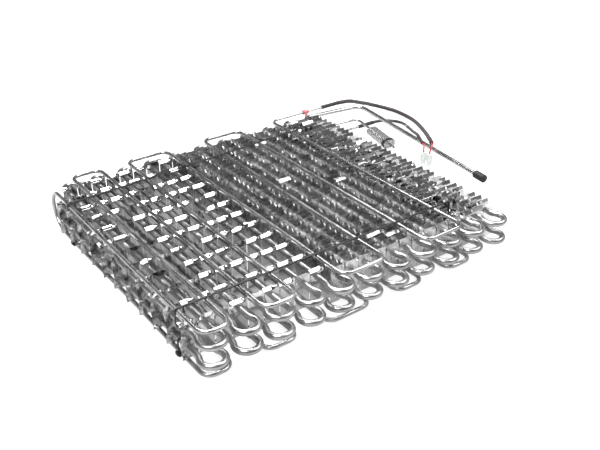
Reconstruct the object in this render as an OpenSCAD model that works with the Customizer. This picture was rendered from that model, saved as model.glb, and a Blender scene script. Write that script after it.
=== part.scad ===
// Finned evaporator coil of a no-frost refrigerator, with its defrost heater.
// One aluminium tube runs back and forth in two layers, and rows of thin plates
// stand on it. The heater lies on top and below, held by four cable ties.
// X runs across the passes, Y along them and Z up. The coil rests on its ties.

/* [Coil tube] */
// Outside diameter of the refrigerant tube
tube_od = 9.5; // [8:0.5:11]
// Wall of the refrigerant tube
tube_wall = 0.8; // [0.6:0.1:1.2]
// Distance from one pass of the tube to the next
pass_pitch = 25.4; // [24:0.2:30]
// Number of passes in each layer, an even number
pass_count = 22; // [20:2:24]
// Height from the lower layer to the upper layer
layer_gap = 30; // [26:1:40]
// Length of a straight pass between the centres of its bends
pass_len = 508; // [500:1:560]
// How far the bend that joins the layers sits back from the other bends
crossover_setback = 49; // [44:1:56]

/* [Fins] */
// Width of a fin across its pass
fin_w = 24; // [18:0.5:24]
// How far a fin stands out past the centre of each layer
fin_over = 15; // [12:0.5:20]
// Thickness of the fin sheet
fin_t = 0.3; // [0.2:0.05:0.5]
// Space between fins in the close rows
fin_pitch = 13.5; // [12:0.5:15]
// In the open rows, one fin stands for this many in the close rows
open_step = 3; // [2:1:4]
// Number of open rows, counted from the left
open_rows = 9; // [4:1:12]
// Place of the first fin of the open rows along the pass
first_fin = 40; // [36:1:44]
// Space between a fin's hole and the tube
fin_hole_gap = 0.1; // [0.05:0.05:0.3]

/* [Defrost heater] */
// Outside diameter of the heater's sheath
heater_od = 6.4; // [5:0.2:8]
// Diameter of the unheated ends
heater_end_od = 4.4; // [3.6:0.2:5]
// Radius of the heater's bends
heater_bend_r = 16; // [12:1:18]
// Gap between the heater and the edges of the fins
heater_seat = 0.2; // [0.1:0.1:0.4]
// How far the near loops reach past the near bend centres
heater_near_reach = 3; // [0:1:10]
// How far the first run stands to the left of the first pass
heater_first_shift = 3; // [2:0.5:5]
// How far the upper end reaches past the last pass
heater_top_end = 43; // [38:1:48]
// How far the lower end reaches past the last pass
heater_bottom_end = 143; // [138:1:146]

/* [Cable ties] */
// Width of a tie's strap
tie_w = 3.4; // [2.4:0.2:4]
// Thickness of a tie's strap
tie_t = 1.2; // [0.8:0.1:1.6]
// Gap between a strap and what it holds
tie_gap = 0.1; // [0.05:0.05:0.3]
// Length of the lock on a tie
tie_lock_l = 5; // [4:0.5:7]
// How far the lock stands off its strap
tie_lock_h = 3; // [2:0.5:4]
// How far an end lock sits in from the corner of its strap
tie_lock_drop = 2.5; // [1:0.5:4]

/* [Pipe joints] */
// Outside diameter of the joint that slips over an end of the coil tube
joint_od = 11.4; // [11:0.2:13]
// Length of the joint on the coil tube
joint_grip = 12; // [8:1:14]
// Length of the joint's taper past the end of the coil tube
joint_nose = 5; // [3:0.5:8]
// Space between the joint and the tube
joint_gap = 0.05; // [0.05:0.05:0.15]
// Angle by which the pipes lean in towards the coil as they come back
pipe_lean = 7.5; // [0:0.5:10]

/* [Suction pipe] */
// Outside diameter of the suction pipe
suction_od = 8; // [6.4:0.2:9]
// Wall of the suction pipe
suction_wall = 0.8; // [0.6:0.1:1.2]
// How far the suction pipe stands out past the last pass
suction_reach = 130; // [120:1:140]
// Radius of the suction pipe's bend round the corner
suction_corner_r = 20; // [16:1:28]
// Length of suction pipe that comes back along the coil
suction_back = 372; // [300:1:380]
// Outside diameter of the rubber cap
cap_od = 14; // [12:0.5:18]
// Length of the rubber cap
cap_l = 25; // [20:1:32]
// Length of pipe inside the cap
cap_grip = 18; // [12:1:18]
// Radius of the cap's rounded end
cap_dome_r = 10.5; // [9:0.5:14]

/* [Inlet pipe] */
// Outside diameter of the inlet pipe
inlet_od = 5; // [4:0.2:6]
// Wall of the inlet pipe
inlet_wall = 0.8; // [0.6:0.1:1]
// How far the inlet pipe stands out past the last pass
inlet_reach = 126; // [110:1:128]
// Radius of the inlet pipe's bend round the corner
inlet_corner_r = 12; // [10:1:16]
// Length of inlet pipe that comes back along the coil
inlet_back = 124; // [110:1:150]
// Angle by which the inlet pipe droops as it comes back
inlet_droop = 5; // [0:0.5:8]
// How far the bare end is swaged in, on each side
inlet_swage = 0.2; // [0.1:0.1:0.3]

/* [Thermostat] */
// Width of the thermostat's soft cover
cover_w = 26; // [20:1:30]
// Height of the cover
cover_h = 16; // [14:1:20]
// Length of the cover along the inlet pipe
cover_l = 66; // [50:1:70]
// Bare inlet pipe left past the cover
inlet_bare_end = 15; // [12:1:20]
// Width of the band that closes the cover
band_w = 6; // [4:0.5:8]
// How far the band sits in from the cover's lower end
band_inset = 3; // [1:0.5:6]
// How far the band stands off the cover
band_t = 1.2; // [0.8:0.1:2]

/* [Heater seals and clip] */
// Outside diameter of the rubber seals on the heater's ends
seal_od = 7.4; // [6.4:0.2:8]
// Length of a seal past the end of the heater
seal_l = 32; // [24:1:36]
// Length of heater held inside a seal
seal_grip = 8; // [5:1:12]
// Outside diameter of the clip on the upper heater end
clip_od = 9; // [7:0.5:11]
// Length of the clip
clip_l = 12; // [8:1:16]
// How far the clip's tail hangs below it
clip_tail = 10; // [6:1:14]
// Gap between a seal, cap, clip or cover and what it sits on
sleeve_gap = 0.1; // [0.05:0.05:0.2]

/* [Leads] */
// Diameter of the upper lead's sleeve
lead_top_d = 9; // [7:0.5:9]
// Diameter of the lower lead's sleeve
lead_bottom_d = 6; // [5:0.5:6]
// Diameter of the wires between the sleeves and the connectors
wire_d = 2.6; // [2:0.2:3]
// Width of a connector along the coil
connector_w = 8; // [6:0.5:9]
// Depth of a connector across the coil
connector_d = 9; // [7:0.5:10]
// Height of a connector
connector_h = 24; // [18:1:28]
// Step in from the connector's body to its nose, and height of its latch
connector_rim = 1; // [0.6:0.1:1.5]
// Length of the clear band on the lower lead
lead_band_l = 7; // [5:0.5:9]
// Thickness of the clear band
lead_band_t = 1.2; // [0.8:0.1:1.6]

/* [Hidden] */
$fn = 48;

aluminium = [0.80, 0.81, 0.83];
black = [0.08, 0.08, 0.09];
red = [0.70, 0.10, 0.12];
white = [0.92, 0.92, 0.90];
clear = [0.80, 0.82, 0.84];

// How far a cut runs past the face it opens
cut_past = 1;
// Length of a joint's full width past the end of the coil tube
joint_shoulder = 1;
// Width left on the tip of a joint's taper, round the pipe
joint_tip = 0.5;

tube_r = tube_od / 2;
bend_r = pass_pitch / 2;
last_x = (pass_count - 1) * pass_pitch;
crossover_y = pass_len - crossover_setback;
heater_r = heater_od / 2;
// Height of the heater's centre above the centre of its layer of tube
heater_rise = fin_over + heater_seat + heater_r;
heater_top_z = layer_gap + heater_rise;
// Height of a tie's strap above the centre of its layer of tube
strap_rise = heater_rise + heater_r + tie_gap;

// The object's own box, without the loose leads, sets the origin
left_x = -fin_w / 2;
right_x = last_x + heater_bottom_end + seal_l;
near_y = -bend_r - tube_r;
far_y = pass_len + bend_r + tube_r;
floor_z = -strap_rise - tie_t;

function pass_x(k) = (k - 1) * pass_pitch;

// The whole object stands on the floor, centred on its box
module placed() {
    translate([-(left_x + right_x) / 2, -(near_y + far_y) / 2, -floor_z]) children();
}

// Round section of the coil tube
module tube_ring() {
    difference() {
        circle(d = tube_od);
        circle(d = tube_od - 2 * tube_wall);
    }
}

// Half turn of the coil tube in the XY plane, bulging towards +Y
module tube_turn(r) {
    rotate_extrude(angle = 180) translate([r, 0]) tube_ring();
}

// Straight pass of the coil tube
module tube_pass(k) {
    translate([pass_x(k), 0, 0]) rotate([-90, 0, 0])
        linear_extrude(k == 1 ? crossover_y : pass_len) tube_ring();
}

// One layer's hairpins, each of two passes and the bend at their near ends. The tube is
// one length; it is kept as the hairpins and the bends that join them, end to end
module hairpins(z) {
    color(aluminium) placed() translate([0, 0, z]) for (k = [1:2:pass_count - 1]) {
        tube_pass(k);
        tube_pass(k + 1);
        translate([pass_x(k) + bend_r, 0, 0]) rotate([0, 0, 180]) tube_turn(bend_r);
    }
}

// One layer's bends at the far end
module far_bends(z) {
    color(aluminium) placed() translate([0, pass_len, z]) for (k = [2:2:pass_count - 2]) {
        translate([pass_x(k) + bend_r, 0, 0]) tube_turn(bend_r);
    }
}

// Upright bend from the first pass of the upper layer to that of the lower layer
module crossover_bend() {
    color(aluminium) placed() translate([0, crossover_y, layer_gap / 2]) rotate([0, 90, 0])
        tube_turn(layer_gap / 2);
}

// One fin, pierced for the upper and the lower tube, with its face towards Y
module fin() {
    hole_d = tube_od + 2 * fin_hole_gap;
    rotate([90, 0, 0]) linear_extrude(fin_t, center = true) difference() {
        translate([-fin_w / 2, -fin_over]) square([fin_w, layer_gap + 2 * fin_over]);
        circle(d = hole_d);
        translate([0, layer_gap]) circle(d = hole_d);
    }
}

// All the fins of one pass: open rows on the left, close rows on the right
module fin_row(k) {
    open = k <= open_rows;
    first = open ? first_fin : first_fin - fin_pitch;
    step = open ? open_step * fin_pitch : fin_pitch;
    last = (k == 1 ? crossover_y : pass_len) - fin_pitch;
    color(aluminium) placed() for (y = [first:step:last]) {
        translate([pass_x(k), y, 0]) fin();
    }
}

// Heater runs as distances from the first pass, counted in passes
heater_top_slots = [1.5, 3.5, 5.5, 8.5, 11.5, 14.5, 17.5];
heater_bottom_slots = [1.5, 3.5, 5.5, 7.5, 10.5, 12.5, 14.5, 16.5, 18.5];

function run_xs(slots) = concat([-heater_first_shift], slots * pass_pitch);

// Rod along Y from y0 to y1
module rod_y(x, y0, y1) {
    translate([x, y0, 0]) rotate([-90, 0, 0]) cylinder(h = y1 - y0, d = heater_od);
}

// Rod along X from x0 to x1
module rod_x(y, x0, x1, d) {
    translate([x0, y, 0]) rotate([0, 90, 0]) cylinder(h = x1 - x0, d = d);
}

// Quarter turn of rod about a centre, from the angle given
module rod_corner(x, y, start, d) {
    translate([x, y, 0]) rotate([0, 0, start]) rotate_extrude(angle = 90)
        translate([heater_bend_r, 0]) circle(d = d);
}

// Flat-ended loop of rod between two runs, at the near end or at the far end
module rod_loop(x0, x1, y, near) {
    centre_y = near ? y + heater_bend_r : y - heater_bend_r;
    rod_corner(x0 + heater_bend_r, centre_y, near ? 180 : 90, heater_od);
    rod_corner(x1 - heater_bend_r, centre_y, near ? 270 : 0, heater_od);
    rod_x(y, x0 + heater_bend_r, x1 - heater_bend_r, heater_od);
}

// One layer of heater runs, from the upright turn to the end on the right
module heater_layer(xs, end_x) {
    n = len(xs);
    near = -heater_near_reach;
    turn_y = pass_len - heater_bend_r;
    for (i = [0:n - 1]) rod_y(xs[i], near + heater_bend_r, i == 0 ? crossover_y : turn_y);
    for (i = [0:2:n - 2]) rod_loop(xs[i], xs[i + 1], near, true);
    for (i = [1:2:n - 3]) rod_loop(xs[i], xs[i + 1], pass_len, false);
    rod_corner(xs[n - 1] + heater_bend_r, turn_y, 90, heater_end_od);
    rod_x(pass_len, xs[n - 1] + heater_bend_r, end_x, heater_end_od);
}

// The sheathed heater: runs on top, an upright turn at the back, runs below
module defrost_heater() {
    color(aluminium) placed() {
        translate([0, 0, heater_top_z])
            heater_layer(run_xs(heater_top_slots), last_x + heater_top_end);
        translate([0, 0, -heater_rise])
            heater_layer(run_xs(heater_bottom_slots), last_x + heater_bottom_end);
        translate([-heater_first_shift, crossover_y, layer_gap / 2]) rotate([0, 90, 0])
            rotate_extrude(angle = 180) translate([layer_gap / 2 + heater_rise, 0])
            circle(d = heater_od);
    }
}

// Length of a pipe's stretch across, between the bend at the joint and the corner
function across_len(reach, corner_r) =
    (reach - corner_r - (bend_r - corner_r) * sin(pipe_lean)) / cos(pipe_lean) - bend_r;

// A pipe's route from the joint: a bend, a stretch across, a corner and a stretch back
module pipe_route(d, across, corner_r, back) {
    translate([bend_r, 0, 0]) rotate([0, 0, 90]) rotate_extrude(angle = 90)
        translate([bend_r, 0]) circle(d = d);
    translate([bend_r, bend_r, 0]) rotate([0, 90, 0]) cylinder(h = across, d = d);
    translate([bend_r + across, bend_r - corner_r, 0]) rotate_extrude(angle = 90)
        translate([corner_r, 0]) circle(d = d);
    translate([bend_r + across + corner_r, bend_r - corner_r, 0]) rotate([90, 0, 0])
        cylinder(h = back, d = d);
}

// Puts its children at the end of a layer of coil tube, leaning as the pipe there does
module at_joint(z, droop) {
    placed() translate([last_x, pass_len, z]) rotate([0, 0, -pipe_lean])
        rotate([droop, 0, 0]) children();
}

// Puts its children on a pipe's stretch back, a distance before its end, along +Z
module on_pipe_back(reach, corner_r, back, before_end) {
    across = across_len(reach, corner_r);
    translate([bend_r + across + corner_r, bend_r - corner_r - back + before_end, 0])
        rotate([90, 0, 0]) children();
}

// A pipe with the swaged joint that slips over an end of the coil tube. Its open
// end may be swaged in by swage over a length of end_l
module jointed_pipe(z, droop, od, wall, reach, corner_r, back, end_l, swage) {
    bore = od - 2 * wall;
    across = across_len(reach, corner_r);
    full_l = joint_grip + joint_shoulder;
    difference() {
        union() {
            placed() translate([last_x, pass_len - joint_grip, z]) rotate([-90, 0, 0]) {
                cylinder(h = full_l, d = joint_od);
                translate([0, 0, full_l])
                    cylinder(h = joint_nose, d1 = joint_od, d2 = od + 2 * joint_tip);
            }
            at_joint(z, droop) {
                pipe_route(od, across, corner_r, back - end_l);
                if (end_l > 0) on_pipe_back(reach, corner_r, back, end_l)
                    cylinder(h = end_l, d = od - 2 * swage);
            }
        }
        placed() translate([last_x, pass_len - joint_grip - cut_past, z]) rotate([-90, 0, 0])
            cylinder(h = joint_grip + cut_past, d = tube_od + 2 * joint_gap);
        at_joint(z, droop) {
            pipe_route(bore, across, corner_r, back + cut_past);
            translate([0, -cut_past, 0]) rotate([-90, 0, 0]) cylinder(h = cut_past, d = bore);
        }
    }
}

// The suction pipe, on the upper end of the coil tube
module suction_pipe() {
    color(aluminium) jointed_pipe(
        layer_gap, 0, suction_od, suction_wall, suction_reach, suction_corner_r, suction_back,
        0, 0
    );
}

// The inlet pipe, on the lower end of the coil tube
module inlet_pipe() {
    color(aluminium) jointed_pipe(
        0, inlet_droop, inlet_od, inlet_wall, inlet_reach, inlet_corner_r, inlet_back,
        inlet_bare_end, inlet_swage
    );
}

// Rubber cap over the end of the suction pipe, rounded at its closed end
module suction_cap() {
    color(black) at_joint(layer_gap, 0)
        on_pipe_back(suction_reach, suction_corner_r, suction_back, cap_grip) difference() {
            intersection() {
                cylinder(h = cap_l, d = cap_od);
                translate([0, 0, cap_l - cap_dome_r]) union() {
                    sphere(r = cap_dome_r);
                    translate([0, 0, -cap_l]) cylinder(h = cap_l, r = cap_dome_r);
                }
            }
            translate([0, 0, -cut_past])
                cylinder(h = cap_grip + cut_past, d = suction_od + 2 * sleeve_gap);
        }
}

// Flat outline with round ends
module oval(w, h) {
    square([w - h, h], center = true);
    for (side = [-1, 1]) translate([side * (w - h) / 2, 0]) circle(d = h);
}

// Soft cover round the thermostat, closed round the inlet pipe
module thermostat_cover() {
    color(clear) at_joint(0, inlet_droop)
        on_pipe_back(inlet_reach, inlet_corner_r, inlet_back, cover_l + inlet_bare_end)
        linear_extrude(cover_l) difference() {
            oval(cover_w, cover_h);
            circle(d = inlet_od + 2 * sleeve_gap);
        }
}

// Band that closes the lower end of the cover
module thermostat_band() {
    color(black) at_joint(0, inlet_droop)
        on_pipe_back(inlet_reach, inlet_corner_r, inlet_back, inlet_bare_end + band_inset + band_w)
        linear_extrude(band_w) difference() {
            oval(cover_w + 2 * (sleeve_gap + band_t), cover_h + 2 * (sleeve_gap + band_t));
            oval(cover_w + 2 * sleeve_gap, cover_h + 2 * sleeve_gap);
        }
}

// Hook of a strap round what lies between two places, with its legs up to the strap
module hook_outline(xa, xb) {
    r = (xb - xa) / 2;
    leg_h = strap_rise + tie_t;
    translate([(xa + xb) / 2, 0]) {
        difference() {
            circle(r = r + tie_t);
            circle(r = r);
            translate([-2 * r, 0]) square([4 * r, 2 * r]);
        }
        for (x = [-r - tie_t, r]) translate([x, 0]) square([tie_t, leg_h]);
    }
}

// Tie above its layer of tube, hooked round the first pass and the last but two
module tie(y_left, y_right, lock_left, lock_mid) {
    xa = -heater_first_shift - heater_r - tie_gap;
    xb = tube_r + tie_gap;
    x_end = pass_x(pass_count - 2);
    ends = [[xa - tie_t, y_left], [x_end + xb + tie_t, y_right]];
    color(black) {
        translate([0, y_left, 0]) rotate([90, 0, 0])
            linear_extrude(tie_w, center = true) hook_outline(xa, xb);
        translate([0, y_right, 0]) rotate([90, 0, 0])
            linear_extrude(tie_w, center = true) hook_outline(x_end - xb, x_end + xb);
        translate([0, 0, strap_rise]) linear_extrude(tie_t) polygon([
            ends[0] - [0, tie_w / 2], ends[1] - [0, tie_w / 2],
            ends[1] + [0, tie_w / 2], ends[0] + [0, tie_w / 2]
        ]);
        lock_x = lock_left ? ends[0].x - tie_lock_h : ends[1].x;
        lock_y = lock_left ? y_left : y_right;
        translate([lock_x, lock_y - tie_w, strap_rise - tie_lock_drop - tie_lock_l])
            cube([tie_lock_h, 2 * tie_w, tie_lock_l]);
        if (lock_mid > 0) {
            y_mid = y_left + (y_right - y_left) * (pass_x(lock_mid) - ends[0].x)
                / (ends[1].x - ends[0].x);
            translate([pass_x(lock_mid), y_mid - tie_w, strap_rise + tie_t])
                cube([tie_lock_l, 2 * tie_w, tie_lock_h]);
        }
    }
}

// Ties hook on midway between fins, so their places are counted in fins
far_slot = floor((pass_len - first_fin) / fin_pitch) - 5;
tie_near_y = first_fin + 1.5 * fin_pitch;
tie_far_left_y = first_fin + (far_slot - 1.5) * fin_pitch;
tie_far_right_y = first_fin + (far_slot + 0.5) * fin_pitch;
lock_pass = 9;

module tie_top_near() {
    placed() translate([0, 0, layer_gap]) tie(tie_near_y, tie_near_y, false, 0);
}

module tie_top_far() {
    placed() translate([0, 0, layer_gap]) tie(tie_far_left_y, tie_far_right_y, false, lock_pass);
}

module tie_bottom_near() {
    placed() mirror([0, 0, 1]) tie(tie_near_y, tie_near_y, true, 0);
}

module tie_bottom_far() {
    placed() mirror([0, 0, 1]) tie(tie_far_left_y, tie_far_right_y, true, 0);
}

// Clip on the upper heater end, with a flat tail
module heater_clip() {
    hole_d = heater_end_od + 2 * sleeve_gap;
    wall = (clip_od - hole_d) / 2;
    color(red) placed() translate([last_x - clip_l, pass_len, heater_top_z]) {
        rotate([0, 90, 0]) linear_extrude(clip_l) difference() {
            circle(d = clip_od);
            circle(d = hole_d);
        }
        translate([clip_l / 4, -clip_od / 2, -clip_od / 2 - clip_tail / 2])
            cube([clip_l / 2, wall, clip_tail]);
    }
}

// Rubber seal over a heater end, from which the lead comes out
module seal(end_x, z) {
    color(black) placed() translate([end_x - seal_grip, pass_len, z]) rotate([0, 90, 0])
        difference() {
            cylinder(h = seal_grip + seal_l, d = seal_od);
            translate([0, 0, -cut_past])
                cylinder(h = seal_grip + cut_past, d = heater_end_od + 2 * sleeve_gap);
        }
}

module seal_top() {
    seal(last_x + heater_top_end, heater_top_z);
}

module seal_bottom() {
    seal(last_x + heater_bottom_end, -heater_rise);
}

// Routes of the loose leads, on the floor and over the suction pipe
lead_top_route = [
    [260.5, 254, 71.3], [277.5, 254, 70], [295.5, 258, 66], [315.5, 266, 58], [335.5, 275, 49],
    [355.5, 284, 40], [375.5, 294, 31], [396.5, 302, 21], [417.5, 304, 12], [434.5, 295, 6],
    [441.5, 276, 4.6], [441.5, 252, 4.6], [437.5, 229, 6], [429.5, 207, 9], [418.5, 186, 13],
    [406.5, 167, 18], [393.5, 148, 23], [380.5, 129, 28], [367.5, 111, 33], [354.5, 93, 38],
    [341.5, 76, 43], [328.5, 59, 48], [314.5, 42, 53], [300.5, 24, 59], [286.5, 6, 62]
];
lead_bottom_route = [
    [360.5, 254, 4.5], [373.5, 254, 3.6], [386.5, 250, 3.1], [397.5, 241, 3.1], [403.5, 228, 4],
    [401.5, 212, 7], [394.5, 197, 11], [385.5, 182, 16], [376.5, 168, 20], [367.5, 154, 24],
    [358.5, 140, 28], [349.5, 126, 32], [340.5, 113, 36], [331.5, 100, 41], [322.5, 88, 46],
    [312.5, 75, 51], [302.5, 61, 56.5], [291.5, 46, 60.5], [280.5, 29, 62], [272.5, 15, 62]
];
wire_top_route = [
    [286.5, 6, 62], [279.5, -3, 63], [273.5, -7, 61.5], [270.5, -8, 57], [269.5, -8, 53], [269.5, -8, 50]
];
wire_bottom_route = [
    [272.5, 15, 62], [268.5, 8, 62], [266, 4.5, 60], [265.5, 4, 55], [265.5, 4, 50]
];

function unit(v) = v / norm(v);
function heading(p, i) = unit(p[min(i + 1, len(p) - 1)] - p[max(i - 1, 0)]);

// Side directions carried along a route, so that the rings of a cord don't twist
function carried(p, i, side) = i == len(p) ? [] :
    let (turned = unit(side - (side * heading(p, i)) * heading(p, i)))
    concat([turned], carried(p, i + 1, turned));

// Round cord along a route, with one ring of corners at each of its points
module cord(p, d, sides) {
    side = carried(p, 0, [0, 0.3, 1]);
    corners = [for (i = [0:len(p) - 1], k = [0:sides - 1])
        p[i] + d / 2 * (cos(360 * k / sides) * side[i]
            + sin(360 * k / sides) * cross(heading(p, i), side[i]))];
    last = (len(p) - 1) * sides;
    polyhedron(corners, concat(
        [[for (k = [0:sides - 1]) k]],
        [for (i = [0:len(p) - 2], k = [0:sides - 1])
            let (a = i * sides + k, b = i * sides + (k + 1) % sides)
            [a, a + sides, b + sides, b]],
        [[for (k = [0:sides - 1]) last + sides - 1 - k]]
    ));
}

module lead_top() {
    color(black) cord(lead_top_route, lead_top_d, 12);
}

module lead_bottom() {
    color(black) cord(lead_bottom_route, lead_bottom_d, 10);
}

module wire_top() {
    color(red) cord(wire_top_route, wire_d, 8);
}

module wire_bottom() {
    color(red) cord(wire_bottom_route, wire_d, 8);
}

// Clear band round the lower lead, between two points of its route
module lead_band() {
    from = lead_bottom_route[8];
    way = lead_bottom_route[9] - from;
    color(clear) translate(from) rotate([0, acos(way.z / norm(way)), atan2(way.y, way.x)])
        translate([0, 0, norm(way) / 2]) linear_extrude(lead_band_l, center = true)
        difference() {
            circle(d = lead_bottom_d + 2 * lead_band_t);
            circle(d = lead_bottom_d + 2 * sleeve_gap);
        }
}

// Connector that hangs below the end of its wire, with a latch on one side
module connector(top) {
    nose_h = connector_h / 3;
    nose_w = connector_w - 2 * connector_rim;
    nose_d = connector_d - 2 * connector_rim;
    color(white) translate([top.x, top.y, top.z - connector_h]) {
        translate([-nose_d / 2, -nose_w / 2, 0]) cube([nose_d, nose_w, nose_h]);
        translate([-connector_d / 2, -connector_w / 2, nose_h])
            cube([connector_d, connector_w, connector_h - nose_h]);
        translate([connector_d / 2, -connector_w / 4, nose_h])
            cube([connector_rim, connector_w / 2, nose_h]);
    }
}

module connector_top() {
    connector(wire_top_route[len(wire_top_route) - 1]);
}

module connector_bottom() {
    connector(wire_bottom_route[len(wire_bottom_route) - 1]);
}

hairpins(layer_gap);  // hairpins_upper
far_bends(layer_gap);  // far_bends_upper
crossover_bend();
hairpins(0);  // hairpins_lower
far_bends(0);  // far_bends_lower
defrost_heater();
suction_pipe();
suction_cap();
inlet_pipe();
fin_row(1);  // fin_row_01
fin_row(2);  // fin_row_02
fin_row(3);  // fin_row_03
fin_row(4);  // fin_row_04
fin_row(5);  // fin_row_05
fin_row(6);  // fin_row_06
fin_row(7);  // fin_row_07
fin_row(8);  // fin_row_08
fin_row(9);  // fin_row_09
fin_row(10);  // fin_row_10
fin_row(11);  // fin_row_11
fin_row(12);  // fin_row_12
fin_row(13);  // fin_row_13
fin_row(14);  // fin_row_14
fin_row(15);  // fin_row_15
fin_row(16);  // fin_row_16
fin_row(17);  // fin_row_17
fin_row(18);  // fin_row_18
fin_row(19);  // fin_row_19
fin_row(20);  // fin_row_20
fin_row(21);  // fin_row_21
fin_row(22);  // fin_row_22
tie_top_near();
tie_top_far();
tie_bottom_near();
tie_bottom_far();
thermostat_cover();
thermostat_band();
heater_clip();
seal_top();
seal_bottom();
lead_top();
lead_bottom();
lead_band();
wire_top();
wire_bottom();
connector_top();
connector_bottom();
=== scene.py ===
"""Finned evaporator coil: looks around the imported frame. Metres, Z up, +Y along the passes."""
import math
import random

import bpy
from mathutils import Matrix, Vector


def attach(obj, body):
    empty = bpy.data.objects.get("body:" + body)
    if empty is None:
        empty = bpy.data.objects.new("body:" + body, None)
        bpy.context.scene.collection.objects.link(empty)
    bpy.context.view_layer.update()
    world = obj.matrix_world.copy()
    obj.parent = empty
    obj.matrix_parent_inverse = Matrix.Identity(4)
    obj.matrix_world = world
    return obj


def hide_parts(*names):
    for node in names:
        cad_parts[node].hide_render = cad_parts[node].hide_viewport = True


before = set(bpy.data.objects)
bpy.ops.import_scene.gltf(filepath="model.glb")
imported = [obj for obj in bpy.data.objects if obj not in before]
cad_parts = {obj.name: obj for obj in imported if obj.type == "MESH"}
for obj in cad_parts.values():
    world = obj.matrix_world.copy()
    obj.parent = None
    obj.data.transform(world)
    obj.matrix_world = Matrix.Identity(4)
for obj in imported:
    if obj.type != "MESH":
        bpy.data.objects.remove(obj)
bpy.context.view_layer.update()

MM = 0.001

# Driving sizes, as in the part
TUBE_R = 4.75 * MM
PITCH = 25.4 * MM
BEND_R = PITCH / 2
PASSES = 22
LAYER = 30.0 * MM
PASS_LEN = 508.0 * MM
SETBACK = 49.0 * MM
FIN_W = 24.0 * MM
FIN_OVER = 15.0 * MM
FIN_T = 0.3 * MM
FIN_PITCH = 13.5 * MM
OPEN_ROWS = 9
FIRST_FIN = 40.0 * MM
HEATER_R = 3.2 * MM
HEATER_END_R = 2.2 * MM
HEATER_BEND = 16.0 * MM
HEATER_RISE = 18.4 * MM
HEATER_REACH = 3.0 * MM
HEATER_FIRST = -3.0 * MM
HEATER_TOP_SLOTS = (1.5, 3.5, 5.5, 8.5, 11.5, 14.5, 17.5)
HEATER_LOW_SLOTS = (1.5, 3.5, 5.5, 7.5, 10.5, 12.5, 14.5, 16.5, 18.5)
HEATER_TOP_END = 43.0 * MM
HEATER_LOW_END = 143.0 * MM
LAST_X = (PASSES - 1) * PITCH
CROSS_Y = PASS_LEN - SETBACK
# From the coil's own coordinates to the frame of the part
SHIFT = Vector((-348.2, -254.0, 22.9)) * MM


# Camera, fitted to the photograph
CAMERA_PLACE = Vector((-0.709092, -0.959072, 0.664076))
CAMERA_RIGHT = Vector((0.808471, -0.588448, -0.010153))
CAMERA_UP = Vector((0.297169, 0.393270, 0.870074))
CAMERA_REARWARD = Vector((-0.508001, -0.706447, 0.492816))
CAMERA_LENS = 48.188


def make_camera():
    data = bpy.data.cameras.new("camera")
    cam = bpy.data.objects.new("camera", data)
    bpy.context.scene.collection.objects.link(cam)
    turn = Matrix((CAMERA_RIGHT, CAMERA_UP, CAMERA_REARWARD)).transposed()
    cam.matrix_world = Matrix.Translation(CAMERA_PLACE) @ turn.to_4x4()
    data.sensor_width = 36.0
    data.lens = CAMERA_LENS
    data.clip_start = 0.05
    data.clip_end = 30.0
    bpy.context.scene.camera = cam


make_camera()


# Materials
# Share of the blotches in a metal's pattern; the rest are its drawn or rolled marks
BLOTCH_SHARE = 0.6
# Depth of the fine unevenness of what isn't metal
PLAIN_DEPTH = 0.4 * MM
# Cells of the plates' tones are far higher than the coil, so a plate stands in one
CELL_HEIGHT = 10.0
# Stretch of the marks: drawn along the passes, or rolled upright on a plate
DRAWN = (1.0, 0.04, 1.0)


def new_material(name):
    mat = bpy.data.materials.new(name)
    mat.use_nodes = True
    nodes = mat.node_tree.nodes
    return mat, nodes, mat.node_tree.links, nodes["Principled BSDF"]


def noise_texture(nodes, scale, detail, roughness):
    node = nodes.new("ShaderNodeTexNoise")
    node.inputs["Scale"].default_value = scale
    node.inputs["Detail"].default_value = detail
    node.inputs["Roughness"].default_value = roughness
    return node


def ramp(nodes, links, fac, stops):
    """Colour output of a ramp through the stops, each a place and a colour."""
    node = nodes.new("ShaderNodeValToRGB")
    while len(node.color_ramp.elements) < len(stops):
        node.color_ramp.elements.new(0.5)
    for element, (pos, colour) in zip(node.color_ramp.elements, stops):
        element.position = pos
        element.color = (*colour, 1.0)
    links.new(fac, node.inputs["Fac"])
    return node.outputs["Color"]


def feed(links, socket, value):
    """Gives a socket its value: another node's output, a number or a plain colour."""
    if isinstance(value, float):
        socket.default_value = value
    elif isinstance(value, tuple):
        socket.default_value = (*value, 1.0)
    else:
        links.new(value, socket)


def math_node(nodes, links, operation, *values):
    node = nodes.new("ShaderNodeMath")
    node.operation = operation
    for socket, value in zip(node.inputs, values):
        feed(links, socket, value)
    return node.outputs[0]


def vector_node(nodes, links, operation, value, other=(0.0, 0.0, 0.0)):
    """Node for vector math on an output and a plain vector."""
    node = nodes.new("ShaderNodeVectorMath")
    node.operation = operation
    links.new(value, node.inputs[0])
    node.inputs[1].default_value = other
    return node


def mix_node(nodes, links, factor, a, b, blend="MIX"):
    """Colour from two colours."""
    node = nodes.new("ShaderNodeMix")
    node.data_type = "RGBA"
    node.blend_type = blend
    for key, value in (("Factor", factor), ("A", a), ("B", b)):
        feed(links, node.inputs[key], value)
    return node.outputs["Result"]


def between(nodes, links, value, ends, start=0.0, stop=1.0):
    """Output that goes from one end to the other as the value goes from start to stop."""
    node = nodes.new("ShaderNodeMapRange")
    node.inputs["From Min"].default_value = start
    node.inputs["From Max"].default_value = stop
    node.inputs["To Min"].default_value = ends[0]
    node.inputs["To Max"].default_value = ends[1]
    links.new(value, node.inputs["Value"])
    return node.outputs["Result"]


def uneven(nodes, links, shader, height, strength, depth):
    """Makes a surface uneven by a height."""
    node = nodes.new("ShaderNodeBump")
    node.inputs["Strength"].default_value = strength
    node.inputs["Distance"].default_value = depth
    links.new(height, node.inputs["Height"])
    links.new(node.outputs["Normal"], shader.inputs["Normal"])


def grey(v):
    return (v, v, v)


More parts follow.
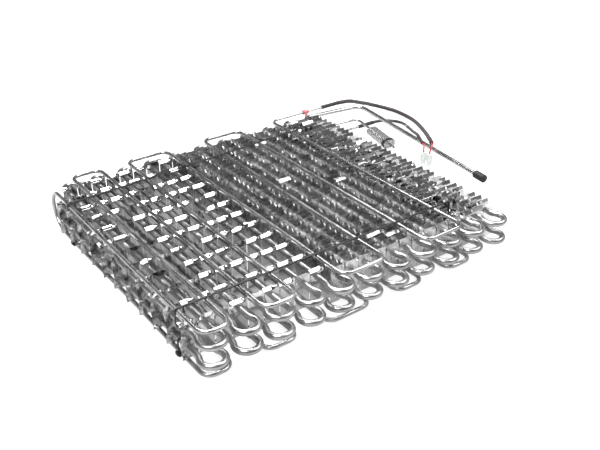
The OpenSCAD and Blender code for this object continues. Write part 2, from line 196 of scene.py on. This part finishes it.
def metal(name, low, high, rough, stretch, scale=900.0, bump=0.12, depth=0.3 * MM, blotch=25.0,
          plates=False):
    """Bright aluminium: blotched grey, with fine drawn or rolled marks along one axis."""
    mat, nodes, links, shader = new_material(name)
    coord = nodes.new("ShaderNodeTexCoord")
    mapping = nodes.new("ShaderNodeMapping")
    mapping.inputs["Scale"].default_value = stretch
    links.new(coord.outputs["Object"], mapping.inputs["Vector"])
    blot = noise_texture(nodes, blotch, 4.0, 0.6)
    links.new(coord.outputs["Object"], blot.inputs["Vector"])
    marks = noise_texture(nodes, scale, 5.0, 0.65)
    links.new(mapping.outputs["Vector"], marks.inputs["Vector"])
    drawn = math_node(nodes, links, "MULTIPLY", marks.outputs["Fac"], 1 - BLOTCH_SHARE)
    pattern = math_node(nodes, links, "MULTIPLY_ADD", blot.outputs["Fac"], BLOTCH_SHARE, drawn)
    colour = ramp(nodes, links, pattern, [(0.36, low), (0.62, high)])
    if plates:
        colour = plate_tone(nodes, links, coord.outputs["Object"], colour)
    links.new(colour, shader.inputs["Base Color"])
    links.new(between(nodes, links, pattern, rough, 0.3, 0.7), shader.inputs["Roughness"])
    shader.inputs["Metallic"].default_value = 1.0
    uneven(nodes, links, shader, pattern, bump, depth)
    return mat


def plate_tone(nodes, links, place, colour):
    """One tone for each plate, from the cell of the row and pitch that it stands in."""
    moved = vector_node(nodes, links, "ADD", place,
                        (PITCH / 2 - SHIFT.x, FIN_PITCH / 2 - FIRST_FIN - SHIFT.y, CELL_HEIGHT / 2))
    cell = vector_node(nodes, links, "SNAP", moved.outputs["Vector"],
                       (PITCH, FIN_PITCH, CELL_HEIGHT))
    chance = nodes.new("ShaderNodeTexWhiteNoise")
    chance.noise_dimensions = "3D"
    links.new(cell.outputs["Vector"], chance.inputs["Vector"])
    tone = ramp(nodes, links, chance.outputs["Value"],
                [(0.0, grey(0.66)), (0.3, grey(0.88)), (0.75, grey(0.98)), (1.0, grey(1.0))])
    return mix_node(nodes, links, 1.0, colour, tone, blend="MULTIPLY")


def plain(name, low, high, rough, scale, bump=0.15, alpha=1.0, metallic=0.0):
    """Rubber, nylon, vinyl or film: two mottled tones, with a fine uneven surface."""
    mat, nodes, links, shader = new_material(name)
    coord = nodes.new("ShaderNodeTexCoord")
    noise = noise_texture(nodes, scale, 4.0, 0.6)
    links.new(coord.outputs["Object"], noise.inputs["Vector"])
    colour = ramp(nodes, links, noise.outputs["Fac"], [(0.35, low), (0.65, high)])
    links.new(colour, shader.inputs["Base Color"])
    links.new(between(nodes, links, noise.outputs["Fac"], rough), shader.inputs["Roughness"])
    shader.inputs["Metallic"].default_value = metallic
    uneven(nodes, links, shader, noise.outputs["Fac"], bump, PLAIN_DEPTH)
    shader.inputs["Alpha"].default_value = alpha
    return mat


TUBE_METAL = metal("bright_drawn_tube", grey(0.30), grey(0.60), (0.24, 0.38), DRAWN)
HEATER_METAL = metal("heater_sheath", grey(0.40), grey(0.66), (0.20, 0.34), DRAWN)
PIPE_METAL = metal("bright_pipe", grey(0.52), grey(0.74), (0.16, 0.28), DRAWN, bump=0.10)
FIN_METAL = metal("rolled_fin_sheet", grey(0.78), grey(1.0), (0.03, 0.13), (1.0, 1.0, 0.15),
                  scale=700.0, bump=0.10, blotch=90.0, plates=True)
CLOSE_METAL = metal("streaked_fin_sheet", grey(0.66), grey(1.0), (0.20, 0.38), (1.0, 1.0, 0.06),
                    scale=1100.0, bump=0.55, depth=0.4 * MM, blotch=160.0, plates=True)
# The outermost row's sheet: its blotches, from near black to white, are painted shade and
# reflection of its crumples
CRUMPLED_PAINTED_SHADE = metal("crumpled_sheet_painted_shade", grey(0.06), grey(1.0), (0.08, 0.24), (1.0, 1.0, 0.2),
                 scale=700.0, bump=0.6, depth=0.6 * MM, blotch=150.0)
TIE_BLACK = plain("black_nylon", grey(0.010), grey(0.030), (0.35, 0.55), scale=700.0)
RUBBER = plain("black_rubber", grey(0.012), grey(0.035), (0.45, 0.7), scale=500.0)
SLEEVE = plain("soft_black_sleeve", (0.022, 0.018, 0.018), (0.075, 0.062, 0.060), (0.38, 0.6),
               scale=600.0, bump=0.3)
RED = plain("red_vinyl", (0.50, 0.02, 0.03), (0.70, 0.06, 0.07), (0.25, 0.4), scale=400.0)
PINK = plain("pink_film", (0.60, 0.07, 0.09), (0.90, 0.42, 0.44), (0.15, 0.35), scale=260.0,
             alpha=0.70)
WHITE = plain("natural_nylon", (0.62, 0.70, 0.66), (0.94, 0.97, 0.94), (0.25, 0.4), scale=300.0,
              alpha=0.5)
FILM = plain("clear_film", grey(0.80), grey(0.92), (0.05, 0.2), scale=150.0, bump=0.6, alpha=0.35)
CRINKLED = plain("crinkled_film", grey(0.10), grey(0.98), (0.05, 0.25), scale=420.0, bump=1.0,
                 alpha=0.85, metallic=0.7)


def dress(node, mat):
    """Gives a solid that the scene keeps its material."""
    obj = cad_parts[node]
    obj.data.materials.clear()
    obj.data.materials.append(mat)
    for face in obj.data.polygons:
        face.material_index = 0


# Mesh helpers
SHARP_EDGE = math.radians(50)


def mesh_object(name, verts, faces, mat):
    """Smooth mesh that rides on the part's one body."""
    mesh = bpy.data.meshes.new(name)
    mesh.from_pydata([tuple(v) for v in verts], [], faces)
    mesh.validate()
    mesh.materials.append(mat)
    mesh.shade_smooth()
    mesh.set_sharp_from_angle(angle=SHARP_EDGE)
    obj = bpy.data.objects.new(name, mesh)
    bpy.context.scene.collection.objects.link(obj)
    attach(obj, "root")
    return obj


def sweep(name, path, radii, sides, mat, side=Vector((0.0, 0.1, 1.0))):
    """Round bar along a path of points, with one radius per point, closed at both ends."""
    n = len(path)
    verts, faces = [], []
    for i, p in enumerate(path):
        heading = (path[min(i + 1, n - 1)] - path[max(i - 1, 0)]).normalized()
        side = (side - side.dot(heading) * heading).normalized()
        other = heading.cross(side)
        for k in range(sides):
            a = 2 * math.pi * k / sides
            verts.append(p + radii[i] * (math.cos(a) * side + math.sin(a) * other))
    for i in range(n - 1):
        for k in range(sides):
            a, b = i * sides + k, i * sides + (k + 1) % sides
            faces.append((a, b, b + sides, a + sides))
    faces.append(tuple(range(sides - 1, -1, -1)))
    faces.append(tuple(range((n - 1) * sides, n * sides)))
    return mesh_object(name, verts, faces, mat)


def arc(centre, r, start, stop, steps, plane="xy"):
    """Points on an arc, without its first point."""
    out = []
    for i in range(1, steps + 1):
        a = math.radians(start + (stop - start) * i / steps)
        if plane == "xy":
            out.append(centre + Vector((r * math.cos(a), r * math.sin(a), 0)))
        else:
            out.append(centre + Vector((0, r * math.cos(a), r * math.sin(a))))
    return out


# Loose leads
WIRE_R = 1.3 * MM
ROUTE_STEPS = 6


def metres(points):
    return [Vector(p) * MM for p in points]


LEAD_TOP = metres([
    [260.5, 254, 71.3], [277.5, 254, 70], [295.5, 258, 66], [315.5, 266, 58], [335.5, 275, 49],
    [355.5, 284, 40], [375.5, 294, 31], [396.5, 302, 21], [417.5, 304, 12], [434.5, 295, 6],
    [441.5, 276, 4.6], [441.5, 252, 4.6], [437.5, 229, 6], [429.5, 207, 9], [418.5, 186, 13],
    [406.5, 167, 18], [393.5, 148, 23], [380.5, 129, 28], [367.5, 111, 33], [354.5, 93, 38],
    [341.5, 76, 43], [328.5, 59, 48], [314.5, 42, 53], [300.5, 24, 59], [286.5, 6, 62]
])
LEAD_BOTTOM = metres([
    [360.5, 254, 4.5], [373.5, 254, 3.6], [386.5, 250, 3.1], [397.5, 241, 3.1], [403.5, 228, 4],
    [401.5, 212, 7], [394.5, 197, 11], [385.5, 182, 16], [376.5, 168, 20], [367.5, 154, 24],
    [358.5, 140, 28], [349.5, 126, 32], [340.5, 113, 36], [331.5, 100, 41], [322.5, 88, 46],
    [312.5, 75, 51], [302.5, 61, 56.5], [291.5, 46, 60.5], [280.5, 29, 62], [272.5, 15, 62]
])
WIRE_TOP = metres([
    [286.5, 6, 62], [279.5, -3, 63], [273.5, -7, 61.5], [270.5, -8, 57], [269.5, -8, 53],
    [269.5, -8, 50]
])
WIRE_BOTTOM = metres([
    [272.5, 15, 62], [268.5, 8, 62], [266, 4.5, 60], [265.5, 4, 55], [265.5, 4, 50]
])


def smooth_path(points, per):
    """Catmull-Rom curve through the points."""
    out = []
    n = len(points)
    for i in range(n - 1):
        p0 = points[max(i - 1, 0)]
        p1, p2 = points[i], points[i + 1]
        p3 = points[min(i + 2, n - 1)]
        for k in range(per):
            t = k / per
            out.append(0.5 * ((2 * p1) + (p2 - p0) * t + (2 * p0 - 5 * p1 + 4 * p2 - p3) * t * t
                              + (3 * p1 - p0 - 3 * p2 + p3) * t ** 3))
    out.append(points[-1])
    return out


def cord(name, points, diameter, mat, node):
    """Sleeve along its route, in place of the cord's solid, which it hides."""
    path = smooth_path(points, ROUTE_STEPS)
    obj = sweep(name, path, [diameter / 2] * len(path), 20, mat)
    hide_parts(node)
    return obj


def wire(name, points, node):
    path = smooth_path(points, ROUTE_STEPS)
    obj = sweep(name, path, [WIRE_R] * len(path), 12, RED)
    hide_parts(node)
    return obj


# Coil tube. Its bends are wider than the legs that they join, which flare out to them.
FLARE = 20.0 * MM
FLARE_STEPS = 6
NEAR_BEND_R = 17.0 * MM
NEAR_BEND_OUT = 12.3 * MM
FAR_BEND_R = 14.6 * MM
FAR_BEND_OUT = 12.0 * MM
BEND_SPREAD = 0.5 * MM
BEND_R_SPREAD = 0.25 * MM
COIL_SEED = 11


def bulb(r, out, steps=22):
    """Round bend between two legs a pitch apart, wider than they are: (across, outward)
    points from leg to leg, with its outermost point at out."""
    phi = math.acos((BEND_R + FLARE) / (r + FLARE))
    depth = (r + FLARE) * math.sin(phi)
    vc = out - r
    pts = []
    for i in range(FLARE_STEPS):
        a = phi * i / FLARE_STEPS
        pts.append((-BEND_R - FLARE + FLARE * math.cos(a), vc - depth + FLARE * math.sin(a)))
    for i in range(steps + 1):
        a = math.pi + phi - (math.pi + 2 * phi) * i / steps
        pts.append((r * math.cos(a), vc + r * math.sin(a)))
    for i in range(1, FLARE_STEPS + 1):
        a = math.pi - phi + phi * i / FLARE_STEPS
        pts.append((BEND_R + FLARE + FLARE * math.cos(a), vc - depth + FLARE * math.sin(a)))
    return pts


def coil_path():
    """Centre line of the whole tube: upper layer from right to left, then the lower back."""
    rng = random.Random(COIL_SEED)
    path = []

    def layer(z, leftward):
        step = -1 if leftward else 1
        ks = range(PASSES, 0, -1) if leftward else range(1, PASSES + 1)
        for n, k in enumerate(ks):
            x = (k - 1) * PITCH
            nearward = n % 2 == 0
            if n in (0, PASSES - 1):
                path.append(Vector((x, CROSS_Y if k == 1 else PASS_LEN, z)))
            if n == PASSES - 1:
                break
            wobble = rng.gauss(0, BEND_SPREAD)
            lift = rng.gauss(0, BEND_SPREAD)
            if nearward:
                shape = bulb(NEAR_BEND_R + rng.gauss(0, BEND_R_SPREAD), NEAR_BEND_OUT - abs(wobble))
            else:
                shape = bulb(FAR_BEND_R, FAR_BEND_OUT + wobble * 0.6)
            for u, v in shape:
                y = -v if nearward else PASS_LEN + v
                path.append(Vector((x + step * (BEND_R + u), y, z + lift * max(0.0, v) / BEND_R)))

    layer(LAYER, True)
    centre = Vector((0, CROSS_Y, LAYER / 2))
    path.extend(arc(centre, LAYER / 2, 90, -90, 20, plane="yz")[:-1])
    layer(0.0, False)
    return [p + SHIFT for p in path]


def build_coil():
    path = coil_path()
    obj = sweep("coil_tube_bent", path, [TUBE_R] * len(path), 28, TUBE_METAL)
    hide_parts("hairpins_upper", "far_bends_upper", "crossover_bend", "hairpins_lower",
                "far_bends_lower")


# Heater
HEATER_STEPS = 16
HEATER_BEND_STEPS = 8
# Most that each of the three waves along a run moves it aside
HEATER_SWAY = 0.5625 * MM
# Points of the last bend that are as thin as the end
HEATER_THIN = 6
HEATER_TOP_SEED = 21
HEATER_LOW_SEED = 22


def heater_layer(slots, z, end_x, seed):
    """Points and radii along one layer of the heater, from the upright turn to its end."""
    rng = random.Random(seed)
    xs = [HEATER_FIRST] + [slot * PITCH for slot in slots]
    r, steps = HEATER_BEND, HEATER_BEND_STEPS
    near, far = -HEATER_REACH, PASS_LEN
    path = []
    for n, x in enumerate(xs):
        nearward = n % 2 == 0
        wander = [rng.uniform(-1, 1) * HEATER_SWAY for _ in range(3)]
        top = CROSS_Y if n == 0 else far - r
        for i in range(HEATER_STEPS + 1):
            f = i / HEATER_STEPS
            y = near + r + (top - near - r) * (1 - f if nearward else f)
            sway = sum(w * math.sin(math.pi * (m + 1) * f) for m, w in enumerate(wander))
            path.append(Vector((x + sway, y, z)))
        if n == len(xs) - 1:
            path.extend(arc(Vector((x + r, far - r, z)), r, 180, 90, steps))
            break
        if nearward:
            path.extend(arc(Vector((x + r, near + r, z)), r, 180, 270, steps))
            path.extend(arc(Vector((xs[n + 1] - r, near + r, z)), r, 270, 360, steps)[:-1])
        else:
            path.extend(arc(Vector((x + r, far - r, z)), r, 180, 90, steps))
            path.extend(arc(Vector((xs[n + 1] - r, far - r, z)), r, 90, 0, steps)[:-1])
    thick = len(path) - HEATER_THIN
    path.append(Vector((end_x, far, z)))
    radii = [HEATER_R] * thick + [HEATER_END_R] * (len(path) - thick)
    return path, radii


def build_heater():
    top_z, low_z = LAYER + HEATER_RISE, -HEATER_RISE
    top, top_radii = heater_layer(HEATER_TOP_SLOTS, top_z, LAST_X + HEATER_TOP_END,
                                  HEATER_TOP_SEED)
    low, low_radii = heater_layer(HEATER_LOW_SLOTS, low_z, LAST_X + HEATER_LOW_END,
                                  HEATER_LOW_SEED)
    turn = arc(Vector((HEATER_FIRST, CROSS_Y, LAYER / 2)), LAYER / 2 + HEATER_RISE, 90, -90, 28,
               plane="yz")[:-1]
    path = [p + SHIFT for p in top[::-1] + turn + low]
    radii = top_radii[::-1] + [HEATER_R] * len(turn) + low_radii
    obj = sweep("heater_rod", path, radii, 18, HEATER_METAL)
    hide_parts("defrost_heater")


# Fins. A plate is drawn in millimetres: x across it, z up from its lower hole.
OPEN_STEP = 3
TOOTHED_FROM = PASSES - 3
HALF_W = FIN_W / 2 / MM
MID_Z = LAYER / 2 / MM
HALF_H = MID_Z + FIN_OVER / MM
# Grid lines of a plate, closer together at its top edge and right corner
GRID_X = (-12, -8, -4, 0, 4, 7, 8.5, 10.5, 12)
GRID_Z = (-15, -9, -3, 3, 9, 15, 21, 27, 32, 35.5, 37, 38, 39.5, 42, 45)
# The top edge is what stands above LIP_Z. It bends back within LIP_BEND of there, in small steps.
# In most close rows only its corner to the right of GLINT_X does.
LIP_Z = 37
LIP_BEND = 1.8
LIP_STEPS = 12
GLINT_X = 8.5
CORNERS = ((-1, -1), (1, -1), (-1, 1), (1, 1))
FIN_SEED = 500
# Wear of the plates in open and close rows, in millimetres: a mean and a spread, or a spread
LEAN = {"open": (-1.2, 0.3), "close": (-0.6, 0.6)}
TWIST = {"open": 0.12, "close": 0.22}
BOW = {"open": 0.05, "close": 0.12}
CRUMPLE = 2.6
# Share of corners that are folded over, and the spread of their depth and of the others'
FOLDED = {"open": 0.08, "close": 0.30}
FOLD = 2.4
NO_FOLD = 0.1
# Ripples of a plate: depth, and waves up and across it
RIPPLES = ((0.05, 5.2, 2.7), (0.03, 11.0, 6.0))
# Bend of the top edge in degrees, mean and spread
FLAT_EDGE = (4, 8)
OPEN_LIP = (55, 5)
TOOTH = (29, 4)
GLINT = (54, 8)


def fin_template():
    """Grid of one face of a plate: its points, its quads, and the pairs of points on its rim."""
    m, n = len(GRID_X), len(GRID_Z)
    pts = [(x, z) for z in GRID_Z for x in GRID_X]
    quads = [(j * m + i, j * m + i + 1, (j + 1) * m + i + 1, (j + 1) * m + i)
             for j in range(n - 1) for i in range(m - 1)]
    rim = list(range(m)) + [j * m + m - 1 for j in range(1, n)]
    rim += [(n - 1) * m + i for i in range(m - 2, -1, -1)] + [j * m for j in range(n - 2, 0, -1)]
    return pts, quads, list(zip(rim, rim[1:] + rim[:1]))


def fin_ys(k):
    """Places of the plates of row k along the passes."""
    opened = k <= OPEN_ROWS
    y = FIRST_FIN if opened else FIRST_FIN - FIN_PITCH
    step = (OPEN_STEP if opened else 1) * FIN_PITCH
    last = (CROSS_Y if k == 1 else PASS_LEN) - FIN_PITCH
    out = []
    while y <= last + 1e-9:
        out.append(y)
        y += step
    return out


class Wear:
    """How one plate of row k is knocked out of true, in millimetres, each in its own way."""

    def __init__(self, rng, k):
        self.k = k
        self.opened = k <= OPEN_ROWS
        kind = "open" if self.opened else "close"
        self.lean = rng.gauss(*LEAN[kind])
        self.twist = rng.gauss(0, TWIST[kind])
        self.bow = rng.gauss(0, BOW[kind])
        self.corner = [rng.gauss(0, FOLD if rng.random() < FOLDED[kind] else NO_FOLD)
                       for _ in CORNERS]
        self.phase = [rng.uniform(0, 6.28) for _ in range(4)]
        # Most open plates have their top edge bent back, all but its right corner. Most close
        # ones have only that corner bent, and those of the last rows the whole edge, by less.
        chance = rng.random()
        self.bent = math.radians(rng.gauss(*FLAT_EDGE))
        if self.opened and chance < (0.9 if k > 3 else 0.6):
            self.bent = math.radians(rng.gauss(*OPEN_LIP))
        elif k >= TOOTHED_FROM and chance < 0.85:
            self.bent = math.radians(rng.gauss(*TOOTH))
        elif not self.opened and chance < 0.55:
            self.bent = math.radians(rng.gauss(*GLINT))
        self.whole = k >= TOOTHED_FROM or chance < 0.02
        self.stop = rng.gauss(8.2, 0.8) if rng.random() < 0.9 else rng.uniform(-4, 8)

    def offset(self, x, z):
        """Distance of a point of the plate from its flat place, along the passes."""
        u, w = x / HALF_W, (z - MID_Z) / HALF_H
        d = self.lean * w + self.twist * u + self.bow * (u * u - 0.3)
        for fold, (su, sw) in zip(self.corner, CORNERS):
            reach = max(0.0, su * u * 0.9 + sw * w * 1.1 - 1.5)
            d += fold * reach * 3.2
        phases = zip(self.phase[::2], self.phase[1::2])
        for (depth, up, across), (start, shift) in zip(RIPPLES, phases):
            d += depth * math.sin(up * w + start) * math.sin(across * u + shift)
        if self.k == 1 and u < 0:
            # The outermost row is crumpled along its outer edge
            d += CRUMPLE * u * u * math.sin(4.5 * w + self.phase[0] + 3.0 * self.phase[1])
        return d

    def lip_share(self, x):
        """Share of the lip's bend that the top edge has at x."""
        if self.opened:
            return min(1.0, max(0.0, (self.stop - x) / 1.5))
        if self.whole:
            return 1.0
        return min(1.0, max(0.0, (x - GLINT_X) / 2.0))

    def place(self, x, z):
        """Offset along the passes and height of a point of the worn plate."""
        d = self.offset(x, z)
        if z > LIP_Z:
            along = z - LIP_Z
            back, height = 0.0, LIP_Z
            for i in range(LIP_STEPS):
                here = self.bent * min(1.0, (i + 0.5) / LIP_STEPS * along / LIP_BEND)
                back += math.sin(here) * along / LIP_STEPS
                height += math.cos(here) * along / LIP_STEPS
            share = self.lip_share(x)
            d += back * share
            z += (height - z) * share
        return d, z


def build_row(k, pts, quads, edges):
    """All plates of row k as one mesh, each a closed thin sheet."""
    rng = random.Random(FIN_SEED + k)
    verts, faces = [], []
    n = len(pts)
    for y0 in fin_ys(k):
        wear = Wear(rng, k)
        base = len(verts)
        for side in (-1, 1):
            for x, z in pts:
                d, height = wear.place(x, z)
                y = y0 + d * MM + side * FIN_T / 2
                verts.append(SHIFT + Vector(((k - 1) * PITCH + x * MM, y, height * MM)))
        for quad in quads:
            faces.append([base + i for i in quad])
            faces.append([base + n + i for i in reversed(quad)])
        for a, b in edges:
            faces.append((base + b, base + a, base + n + a, base + n + b))
    mat = FIN_METAL if k <= OPEN_ROWS or k >= TOOTHED_FROM else CLOSE_METAL
    # The outermost row takes the sheet with painted shade and reflection
    if k == 1:
        mat = CRUMPLED_PAINTED_SHADE
    row = mesh_object("fins_%02d" % k, verts, faces, mat)
    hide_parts("fin_row_%02d" % k)


def build_fins():
    pts, quads, edges = fin_template()
    for k in range(1, PASSES + 1):
        build_row(k, pts, quads, edges)


# Stage and light
FLOOR_REACH = 6.0
FLOOR_GLOW = 0.85
# The coil's half sizes along x and y. Reflections see the floor's glow dimmer inside SHADE_START
# times these, a painted shadow of the coil, and brighter from SHADE_END times these outwards.
SHADE_HALF = (0.36, 0.27)
SHADE_START = 1.2
SHADE_END = 2.6
# Glow of the floor in reflections under the coil, dimmed there as a painted shadow, and away from
# it
FLOOR_UNDER_PAINTED_SHADE = 0.30
FLOOR_AWAY = 0.60


def floor_material():
    """White floor that keeps the coil's shadow, and is dimmer in reflections; under and near the
    coil that dimming is a painted shadow.
    """
    mat, nodes, links, shader = new_material("pale_floor")
    shader.inputs["Base Color"].default_value = (0.35, 0.35, 0.35, 1)
    shader.inputs["Roughness"].default_value = 0.9
    shader.inputs["Specular IOR Level"].default_value = 0.0
    path = nodes.new("ShaderNodeLightPath")
    place = nodes.new("ShaderNodeTexCoord")
    away = vector_node(nodes, links, "MULTIPLY", place.outputs["Object"],
                       (1 / SHADE_HALF[0], 1 / SHADE_HALF[1], 0))
    reach = vector_node(nodes, links, "LENGTH", away.outputs["Vector"])
    # Painted shadow: the glow that reflections see is dimmed under and near the coil
    bright = between(nodes, links, reach.outputs["Value"], (FLOOR_UNDER_PAINTED_SHADE, FLOOR_AWAY), SHADE_START,
                     SHADE_END)
    mirrored = math_node(nodes, links, "MULTIPLY", path.outputs["Is Glossy Ray"], bright)
    seen = math_node(nodes, links, "MAXIMUM", path.outputs["Is Camera Ray"],
                     path.outputs["Is Transmission Ray"])
    either = math_node(nodes, links, "MAXIMUM", mirrored, seen)
    glow = nodes.new("ShaderNodeEmission")
    links.new(math_node(nodes, links, "MULTIPLY", either, FLOOR_GLOW), glow.inputs["Strength"])
    total = nodes.new("ShaderNodeAddShader")
    links.new(shader.outputs[0], total.inputs[0])
    links.new(glow.outputs[0], total.inputs[1])
    links.new(total.outputs[0], nodes["Material Output"].inputs["Surface"])
    return mat


def build_stage():
    mesh = bpy.data.meshes.new("floor")
    s = FLOOR_REACH
    mesh.from_pydata([(-s, -s, 0), (s, -s, 0), (s, s, 0), (-s, s, 0)], [], [(0, 1, 2, 3)])
    mesh.materials.append(floor_material())
    floor = bpy.data.objects.new("floor", mesh)
    bpy.context.scene.collection.objects.link(floor)


def build_world():
    """White backdrop for the camera, plain grey fill light, and in reflections a grey wall with a
    dim room above it."""
    world = bpy.data.worlds.new("studio")
    bpy.context.scene.world = world
    world.use_nodes = True
    nodes, links = world.node_tree.nodes, world.node_tree.links
    path = nodes.new("ShaderNodeLightPath")
    coord = nodes.new("ShaderNodeTexCoord")
    parts = nodes.new("ShaderNodeSeparateXYZ")
    links.new(coord.outputs["Generated"], parts.inputs[0])
    room = ramp(nodes, links, parts.outputs["Z"],
                [(0.0, grey(0.45)), (0.10, grey(0.40)), (0.30, grey(0.13)), (1.0, grey(0.10))])
    seen = math_node(nodes, links, "MAXIMUM", path.outputs["Is Camera Ray"],
                     path.outputs["Is Transmission Ray"])
    unseen = mix_node(nodes, links, path.outputs["Is Glossy Ray"], (0.42, 0.42, 0.43), room)
    background = nodes["Background"]
    links.new(mix_node(nodes, links, seen, unseen, grey(1.0)), background.inputs["Color"])
    background.inputs["Strength"].default_value = 1.0


def lamp(name, place, size, size_y, power):
    """Soft box at a place, turned to the middle of the part."""
    data = bpy.data.lights.new(name, "AREA")
    data.shape = "RECTANGLE"
    data.size = size
    data.size_y = size_y
    data.energy = power
    obj = bpy.data.objects.new(name, data)
    bpy.context.scene.collection.objects.link(obj)
    obj.location = place
    obj.rotation_euler = (-Vector(place)).to_track_quat("-Z", "Y").to_euler()


def build_lights():
    lamp("key", (-1.2, -0.6, 1.9), size=1.0, size_y=1.0, power=34)
    lamp("top", (0.3, 0.9, 2.2), size=1.4, size_y=0.8, power=60)
    lamp("side", (1.15, -0.62, 1.85), size=1.7, size_y=1.7, power=40)


# Build
for tie_node in ("tie_top_near", "tie_top_far", "tie_bottom_near", "tie_bottom_far",
                 "thermostat_band"):
    dress(tie_node, TIE_BLACK)
for rubber_node in ("suction_cap", "seal_top", "seal_bottom"):
    dress(rubber_node, RUBBER)
for pipe_node in ("suction_pipe", "inlet_pipe"):
    dress(pipe_node, PIPE_METAL)
dress("heater_clip", PINK)
dress("thermostat_cover", CRINKLED)
dress("lead_band", FILM)
for plug_node in ("connector_top", "connector_bottom"):
    dress(plug_node, WHITE)

upper_wire = wire("upper_wire", WIRE_TOP, "wire_top")
lower_wire = wire("lower_wire", WIRE_BOTTOM, "wire_bottom")
cord("upper_lead", LEAD_TOP, 8.0 * MM, SLEEVE, "lead_top")
cord("lower_lead", LEAD_BOTTOM, 6.0 * MM, SLEEVE, "lead_bottom")
build_coil()
build_heater()
build_fins()
build_stage()
build_world()
build_lights()
bpy.context.scene.view_settings.view_transform = "Standard"
